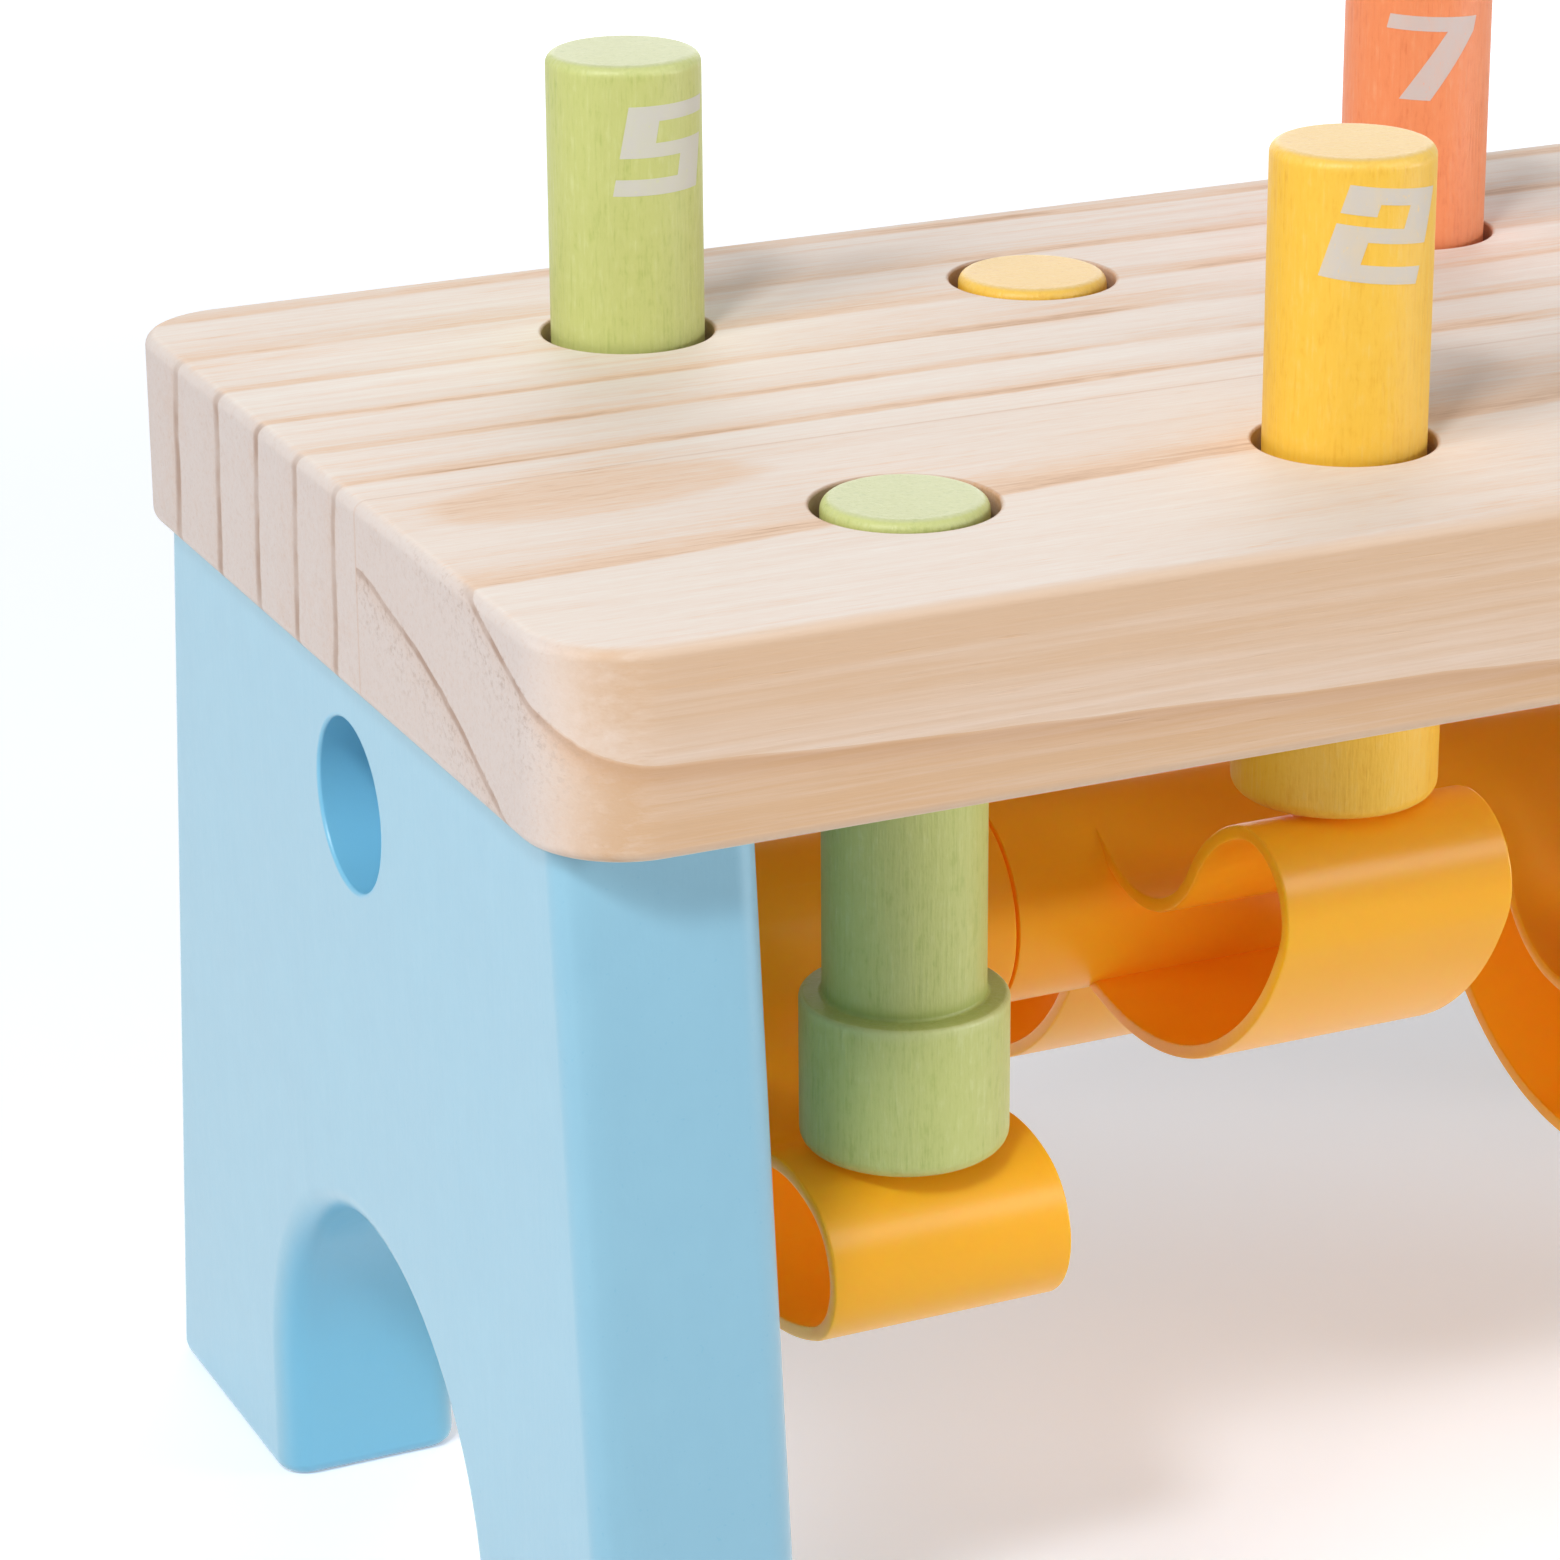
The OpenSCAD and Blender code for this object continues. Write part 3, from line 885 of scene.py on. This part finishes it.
@dataclass
class Rocker:
    """The four moulded rockers, each a hub tube with two hollow lobes."""

    tilt: float = joint("rocker_2_hinge")["range_deg"][1] / 2
    axle_z: float = joint("rocker_1_hinge")["pos_m"][2] / MM
    column_pitch: float = corner("rocker_2").x - corner("rocker_1").x
    hub_r: float = 11.1
    bore_r: float = 8.1
    hub_length: float = extent("rocker_1").x
    hub_sides: int = 96
    lobe_width: float = 25.4
    wall: float = 1.5
    nose: Flat = (40.3, -3.3)
    nose_r: float = 8.0
    valley: Flat = (21.4, 9.5)
    valley_r: float = 11.6
    belly_r: float = 32.0
    belly_turn: float = 44.0
    belly_slope: float = 35.0
    rim_r: float = 0.3
    rim_steps: int = 2
    rim_edge: float = 13.5
    hub_rim_r: float = 0.12
    root: float = 1.2
    play: float = 0.05
    finish: RockerPlastic = field(default_factory=RockerPlastic)

    def lobe_line(self) -> List[Flat]:
        """One lobe's outer line from hub to hub: valley, hump, nose, belly and a straight way back."""
        nose, valley = Vector(self.nose), Vector(self.valley)
        top = nose.y + self.nose_r
        over = valley.y - top
        hump_r = ((nose.x - valley.x) ** 2 + over ** 2 - self.valley_r ** 2) / (2 * (self.valley_r - over))
        hump = Vector((nose.x, top - hump_r))
        belly = nose - (self.belly_r - self.nose_r) * heading(-self.belly_turn)
        start = math.degrees(math.atan2(valley.y - hump.y, valley.x - hump.x))
        leave = math.degrees(math.atan2(valley.y, valley.x)
                             + math.acos((self.hub_r + self.valley_r) / valley.length))
        end = -90 - self.belly_slope
        last = belly + self.belly_r * heading(end)
        back = heading(180 - self.belly_slope)
        across = abs(last.x * back.y - last.y * back.x)
        to_hub = -last.dot(back) - math.sqrt(self.hub_r ** 2 - across ** 2)
        return [tuple(self.hub_r * heading(leave)),
                *arc(valley, self.valley_r, leave + 180, start + 180, 28),
                *arc(hump, hump_r, start, 90, 16)[1:],
                *arc(nose, self.nose_r, 90, -self.belly_turn, 30)[1:],
                *arc(belly, self.belly_r, -self.belly_turn, end, 32)[1:],
                tuple(last + back * (to_hub + self.root))]

    def lobe(self) -> Piece:
        """One hollow lobe with softened rims, level and towards the back."""
        band = draw("lobe", self.lobe_line(), Plane.ACROSS)
        pull(band, (self.lobe_width, 0, 0))
        move(band, (-self.lobe_width / 2, 0, 0))
        offset = 1.0 if self.facing_in(band) else -1.0
        apply(band, "SOLIDIFY", thickness=self.wall * MM, offset=offset, use_even_offset=True)
        soften(band, self.rim_r, self.rim_steps, self.on_rim)
        return band

    def facing_in(self, band: Piece) -> bool:
        """Whether the band's faces point into the lobe."""
        middle = Vector((0.0, self.nose[0], self.nose[1])) * MM
        far = max(band.data.polygons, key=lambda face: face.center.y)
        return (far.center - middle).dot(far.normal) < 0

    def on_rim(self, a: Vector, b: Vector) -> bool:
        """Whether an edge runs along a rim of the lobe, and not across the wall at the hub."""
        half = self.lobe_width / 2 - NEAR
        if min(abs(a.x), abs(b.x)) <= half or a.x * b.x <= 0 or (a - b).length >= self.rim_edge:
            return False
        at_hub = max(math.hypot(a.y, a.z), math.hypot(b.y, b.z)) < self.hub_r + self.play
        return not (at_hub and abs((a - b).length - self.wall) < self.play)

    def mould(self) -> Piece:
        """One level rocker, bored for the axle."""
        half, r = self.hub_length / 2, self.hub_rim_r
        hub_line = [(0, -half), *arc((self.hub_r - r, -half + r), r, 270, 360, 3),
                    *arc((self.hub_r - r, half - r), r, 0, 90, 3), (0, half)]
        level = turned("rocker", hub_line, self.hub_sides)
        move(level, turn=(0, 90, 0))
        for to_front in (False, True):
            lobe = self.lobe()
            if to_front:
                alone(lobe)
                lobe.scale = (1, -1, 1)
                bpy.ops.object.transform_apply(location=False, rotation=False, scale=True)
                edit(lobe)
                bpy.ops.mesh.normals_make_consistent(inside=False)
                done()
            combine(level, lobe, "UNION")
        bore = drill_bit("bore", self.bore_r, r, (-half, half), steps=3)
        move(bore, turn=(0, 90, 0))
        combine(level, bore, "DIFFERENCE")
        return level

    def build(self) -> List[Piece]:
        """Moulds one level rocker and sets a tilted copy under each column.

        Returns:
            The four rockers.
        """
        level = self.mould()
        material = self.finish.material()
        made = []
        for column in range(COLUMNS):
            piece = twin(level, f"moulded_rocker_{column + 1}")
            tilt = self.tilt if column % 2 == 0 else -self.tilt
            move(piece, (column_x(column, self.column_pitch), 0, self.axle_z), (tilt, 0, 0))
            smooth(piece)
            dress(piece, material)
            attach(piece, f"rocker_{column + 1}")
            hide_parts(f"rocker_{column + 1}")
            made.append(piece)
        bpy.data.objects.remove(level)
        return made


@dataclass
class Numeral:
    """A wide slanted number, printed round a peg's front."""

    columns: Tuple[float, ...] = (0.0, 3.5, 6.8, 10.2)
    rows: Tuple[float, ...] = (0.0, 1.7, 3.9, 5.35, 6.4, 7.6, 9.2)
    slant: float = 0.19
    thick: float = 0.03
    cuts: int = 5
    cells: Dict[int, str] = field(default_factory=lambda: {
        1: "110 010 010 010 010 010", 2: "111 101 001 111 100 111",
        3: "111 101 001 111 001 111", 4: "101 101 101 111 001 001",
        5: "111 100 100 111 001 111", 6: "111 100 100 111 101 111",
        7: "111 001 001 001 001 001", 8: "111 101 101 111 101 111"})
    legs: Dict[int, float] = field(default_factory=lambda: {7: 3.3})

    def build(self, number: int, radius: float, lean: float) -> Piece:
        """Lays out a number on a grid, cuts away the empty cells and wraps it round a peg.

        Args:
            number: The number from 1 to 8.
            radius: The peg's radius.
            lean: How far the print leans to the left, in degrees.

        Returns:
            The number on a peg that stands at the origin, with its foot at height zero.
        """
        across, up = len(self.columns) - 1, len(self.rows) - 1
        obj = begin(f"number_{number}", bpy.ops.mesh.primitive_grid_add, x_subdivisions=across,
                    y_subdivisions=up, size=1.0)
        picture = self.cells[number].split()
        edit(obj, "FACE")
        bpy.ops.mesh.select_all(action="DESELECT")
        done()
        for face in obj.data.polygons:
            column = int((face.center.x + 0.5) * across)
            row = int((0.5 - face.center.y) * up)
            face.select = picture[row][column] == "0"
        for vertex in obj.data.vertices:
            column = round((vertex.co.x + 0.5) * across)
            row = round((vertex.co.y + 0.5) * up)
            vertex.co = self.corner(number, column, row)
        bpy.ops.object.mode_set(mode="EDIT")
        bpy.ops.mesh.delete(type="FACE")
        bpy.ops.mesh.select_all(action="SELECT")
        bpy.ops.mesh.subdivide(number_cuts=self.cuts)
        done()
        outside = radius + self.thick
        middle = Vector((0.0, self.rows[-1] / 2, 0.0))
        turn = Matrix.Rotation(math.radians(lean), 3, "Z")
        for vertex in obj.data.vertices:
            vertex.co = turn @ (vertex.co - middle) + middle
            angle = vertex.co.x / radius
            vertex.co = Vector((math.sin(angle) * outside, -math.cos(angle) * outside, vertex.co.y)) * MM
        apply(obj, "SOLIDIFY", thickness=2 * self.thick * MM, offset=-1.0)
        return obj

    def corner(self, number: int, column: int, row: int) -> Vector:
        """Where a grid corner goes, centred on the number's middle."""
        x, y = self.columns[column], self.rows[row]
        bar = self.rows[-2]
        if number in self.legs and row < len(self.rows) - 2:
            x -= self.legs[number] * (bar - y) / bar
        middle = (self.columns[-1] + self.slant * self.rows[-1]) / 2
        return Vector((x + self.slant * y - middle, y, 0.0))


@dataclass
class Peg:
    """The eight turned pegs with their printed numbers."""

    radius: float = 8.0
    foot_radius: float = extent("peg_1").x / 2
    foot_height: float = 15.7
    length: float = extent("peg_1").z - foot_height
    top_r: float = 1.2
    foot_r: float = 1.6
    ledge_r: float = 0.6
    root_r: float = 0.4
    sides: int = 96
    turns: Tuple[float, ...] = (5, -6, -8, 7, 11, -6, -25, 4)
    leans: Tuple[float, ...] = (2, -7, 1, -3, 0, 2, -3, 1)
    number_drops: Tuple[float, ...] = (3.6, 2.8, 3.8, 3.2, 4.1, 3.3, 3.9, 3.6)
    numeral: Numeral = field(default_factory=Numeral)
    ink: PrintInk = field(default_factory=PrintInk)
    paints: Tuple[PegPaint, ...] = (
        PegPaint("green", srgb(198, 206, 126), srgb(214, 222, 156), srgb(176, 190, 102)),
        PegPaint("yellow", srgb(250, 200, 66), srgb(252, 214, 112), srgb(240, 182, 44)),
        PegPaint("coral", srgb(248, 148, 96), srgb(252, 172, 128), srgb(234, 126, 76)),
        PegPaint("blue", srgb(142, 196, 226), srgb(172, 214, 236), srgb(116, 174, 210)))

    def profile(self) -> List[Flat]:
        """Half a peg's section, from its underside up."""
        top, ledge = self.foot_height + self.length, self.foot_height
        foot, body = self.foot_radius, self.radius
        return [(0, 0), *arc((foot - self.foot_r, self.foot_r), self.foot_r, 270, 360, 6),
                *arc((foot - self.ledge_r, ledge - self.ledge_r), self.ledge_r, 0, 90, 4),
                *arc((body + self.root_r, ledge + self.root_r), self.root_r, 270, 180, 3),
                *arc((body - self.top_r, top - self.top_r), self.top_r, 0, 90, 6), (0, top)]

    def build(self) -> List[Piece]:
        """Turns one peg and sets a painted and numbered copy in each hole.

        Returns:
            The pegs and their numbers.
        """
        blank = turned("peg", self.profile(), self.sides)
        made = []
        for index, (turn, lean, drop) in enumerate(zip(self.turns, self.leans, self.number_drops)):
            node = f"peg_{index + 1}"
            paint = self.paints[index % COLUMNS]
            place = corner(node) + Vector((self.foot_radius, self.foot_radius, 0))
            peg = twin(blank, f"turned_{node}")
            move(peg, place, (0, 0, turn))
            smooth(peg)
            dress(peg, paint.material(f"{paint.name}_{node}", self, place))
            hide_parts(node)
            number = self.numeral.build(index + 1, self.radius, lean)
            rise = self.foot_height + self.length - drop - self.numeral.rows[-1]
            move(number, place + Vector((0, 0, rise)), (0, 0, turn))
            smooth(number, weighted=False)
            dress(number, self.ink.material(f"ink_{index + 1}", paint))
            for piece in (peg, number):
                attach(piece, node)
                made.append(piece)
        bpy.data.objects.remove(blank)
        return made


@dataclass
class Dowels:
    """The axle and the joining dowels, which keep their CAD shapes."""

    upright_grain: Point = (1.2, 1.2, 0.05)
    level_grain: Point = (0.05, 1.2, 1.2)
    finish: DowelWood = field(default_factory=DowelWood)

    def dress(self) -> List[Piece]:
        """Gives the CAD dowels their wood.

        Returns:
            The dressed nodes.
        """
        nodes = frame["nodes"]
        upright = self.finish.material("joining_dowel_wood", self.upright_grain)
        made = [nodes["axle_dowel"]]
        dress(made[0], self.finish.material("axle_wood", self.level_grain))
        for side in ("left", "right"):
            for row in ("front", "back"):
                made.append(nodes[f"{side}_{row}_dowel"])
                dress(made[-1], upright)
        return made


@dataclass(frozen=True)
class SoftBox:
    """A square lamp that points at the bench, out of the camera's sight."""

    name: str
    place: Point
    size: float
    power: float
    tint: Colour = WHITE
    gloss_only: bool = False
    aim: Point = (-40.0, 0.0, 80.0)

    def hang(self) -> None:
        """Hangs the lamp."""
        data = bpy.data.lights.new(self.name, "AREA")
        data.size = self.size * MM
        data.energy = self.power
        data.color = self.tint
        lamp = bpy.data.objects.new(self.name, data)
        bpy.context.scene.collection.objects.link(lamp)
        lamp.location = Vector(self.place) * MM
        lamp.rotation_mode = "QUATERNION"
        lamp.rotation_quaternion = (Vector(self.aim) - Vector(self.place)).to_track_quat("-Z", "Y")
        lamp.visible_camera = False
        lamp.visible_diffuse = not self.gloss_only


@dataclass
class Studio:
    """Floor, soft light and the camera at the photograph's angle."""

    place: Point = (-273.37, -450.37, 269.47)
    turn: float = -24.95
    dip: float = 20.221
    roll: float = 0.25
    lens: float = 120.49
    sensor: float = 36.0
    shift: Flat = (-0.0284, -0.0262)
    clip: Flat = (0.01, 50.0)
    floor_size: float = 8000.0
    floor_pale: Colour = srgb(236, 234, 233)
    floor_seen: Colour = srgb(241, 246, 255)
    floor_tint: Colour = (0.94, 0.97, 1.0)
    floor_glow: float = 0.28
    floor_fade: Flat = (350.0, 1100.0)
    floor_shine: float = 0.65
    sky: float = 0.25
    sky_shine: float = 0.9
    lamps: Tuple[SoftBox, ...] = (
        SoftBox("key", (-870, -300, 740), 350, 4.7, (1.0, 0.985, 0.965)),
        SoftBox("upper", (-620, -560, 970), 180, 5.0, (1.0, 0.99, 0.98)),
        SoftBox("low", (1040, -680, 170), 300, 6.0),
        SoftBox("glint", (540, -800, 790), 420, 4.5, gloss_only=True),
        SoftBox("back", (440, 1000, 460), 900, 4.4))

    def camera(self) -> None:
        """Makes the camera and points it."""
        a, e, r = (math.radians(v) for v in (self.turn, self.dip, self.roll))
        ahead = Vector((-math.sin(a) * math.cos(e), math.cos(a) * math.cos(e), -math.sin(e)))
        right = ahead.cross(Vector((0, 0, 1))).normalized()
        down = ahead.cross(right)
        level, fall = right * math.cos(r) + down * math.sin(r), down * math.cos(r) - right * math.sin(r)
        data = bpy.data.cameras.new("camera")
        data.sensor_width = self.sensor
        data.lens = self.lens
        data.shift_x, data.shift_y = self.shift
        data.clip_start, data.clip_end = self.clip
        camera = bpy.data.objects.new("camera", data)
        bpy.context.scene.collection.objects.link(camera)
        turn = Matrix((level, -fall, -ahead)).transposed().to_4x4()
        camera.matrix_world = Matrix.Translation(Vector(self.place) * MM) @ turn
        bpy.context.scene.camera = camera

    def floor(self) -> None:
        """Lays a wide pale floor that keeps the shadows and runs out to white."""
        ground = begin("floor", bpy.ops.mesh.primitive_plane_add, size=self.floor_size * MM)
        shader = Shader("floor")
        seen, mirrored = shader.rays()
        x, y, _ = shader.axes()
        far = (x ** 2 + y ** 2).root().step(*self.floor_fade)
        shine = (seen * (far * (1 - self.floor_glow) + self.floor_glow)).high(mirrored * self.floor_shine)
        dress(ground, shader.finish(
            base_color=shader.mix(self.floor_pale, self.floor_seen, seen), roughness=0.9,
            specular_ior_level=0.1, emission_color=shader.mix(BLACK, self.floor_tint, shine),
            emission_strength=1.0))

    def sky_light(self) -> None:
        """Lights the scene evenly, and shows white behind it."""
        shader = Shader("studio", world=True)
        seen, mirrored = shader.rays()
        strength = seen.high(mirrored * (self.sky_shine - self.sky) + self.sky)
        bpy.context.scene.world = shader.finish(color=WHITE, strength=strength)

    def build(self) -> None:
        """Sets up the whole studio."""
        bpy.context.scene.view_settings.view_transform = "Standard"
        self.camera()
        self.floor()
        self.sky_light()
        for lamp in self.lamps:
            lamp.hang()


def main() -> None:
    """Builds the studio and the bench."""
    logging.basicConfig(level=logging.INFO, format="%(name)s: %(message)s")
    Studio().build()
    pieces = [Board().build(), *LegPanel().build(), *Rocker().build(), *Peg().build(), *Dowels().dress()]


if __name__ == "__main__":
    main()
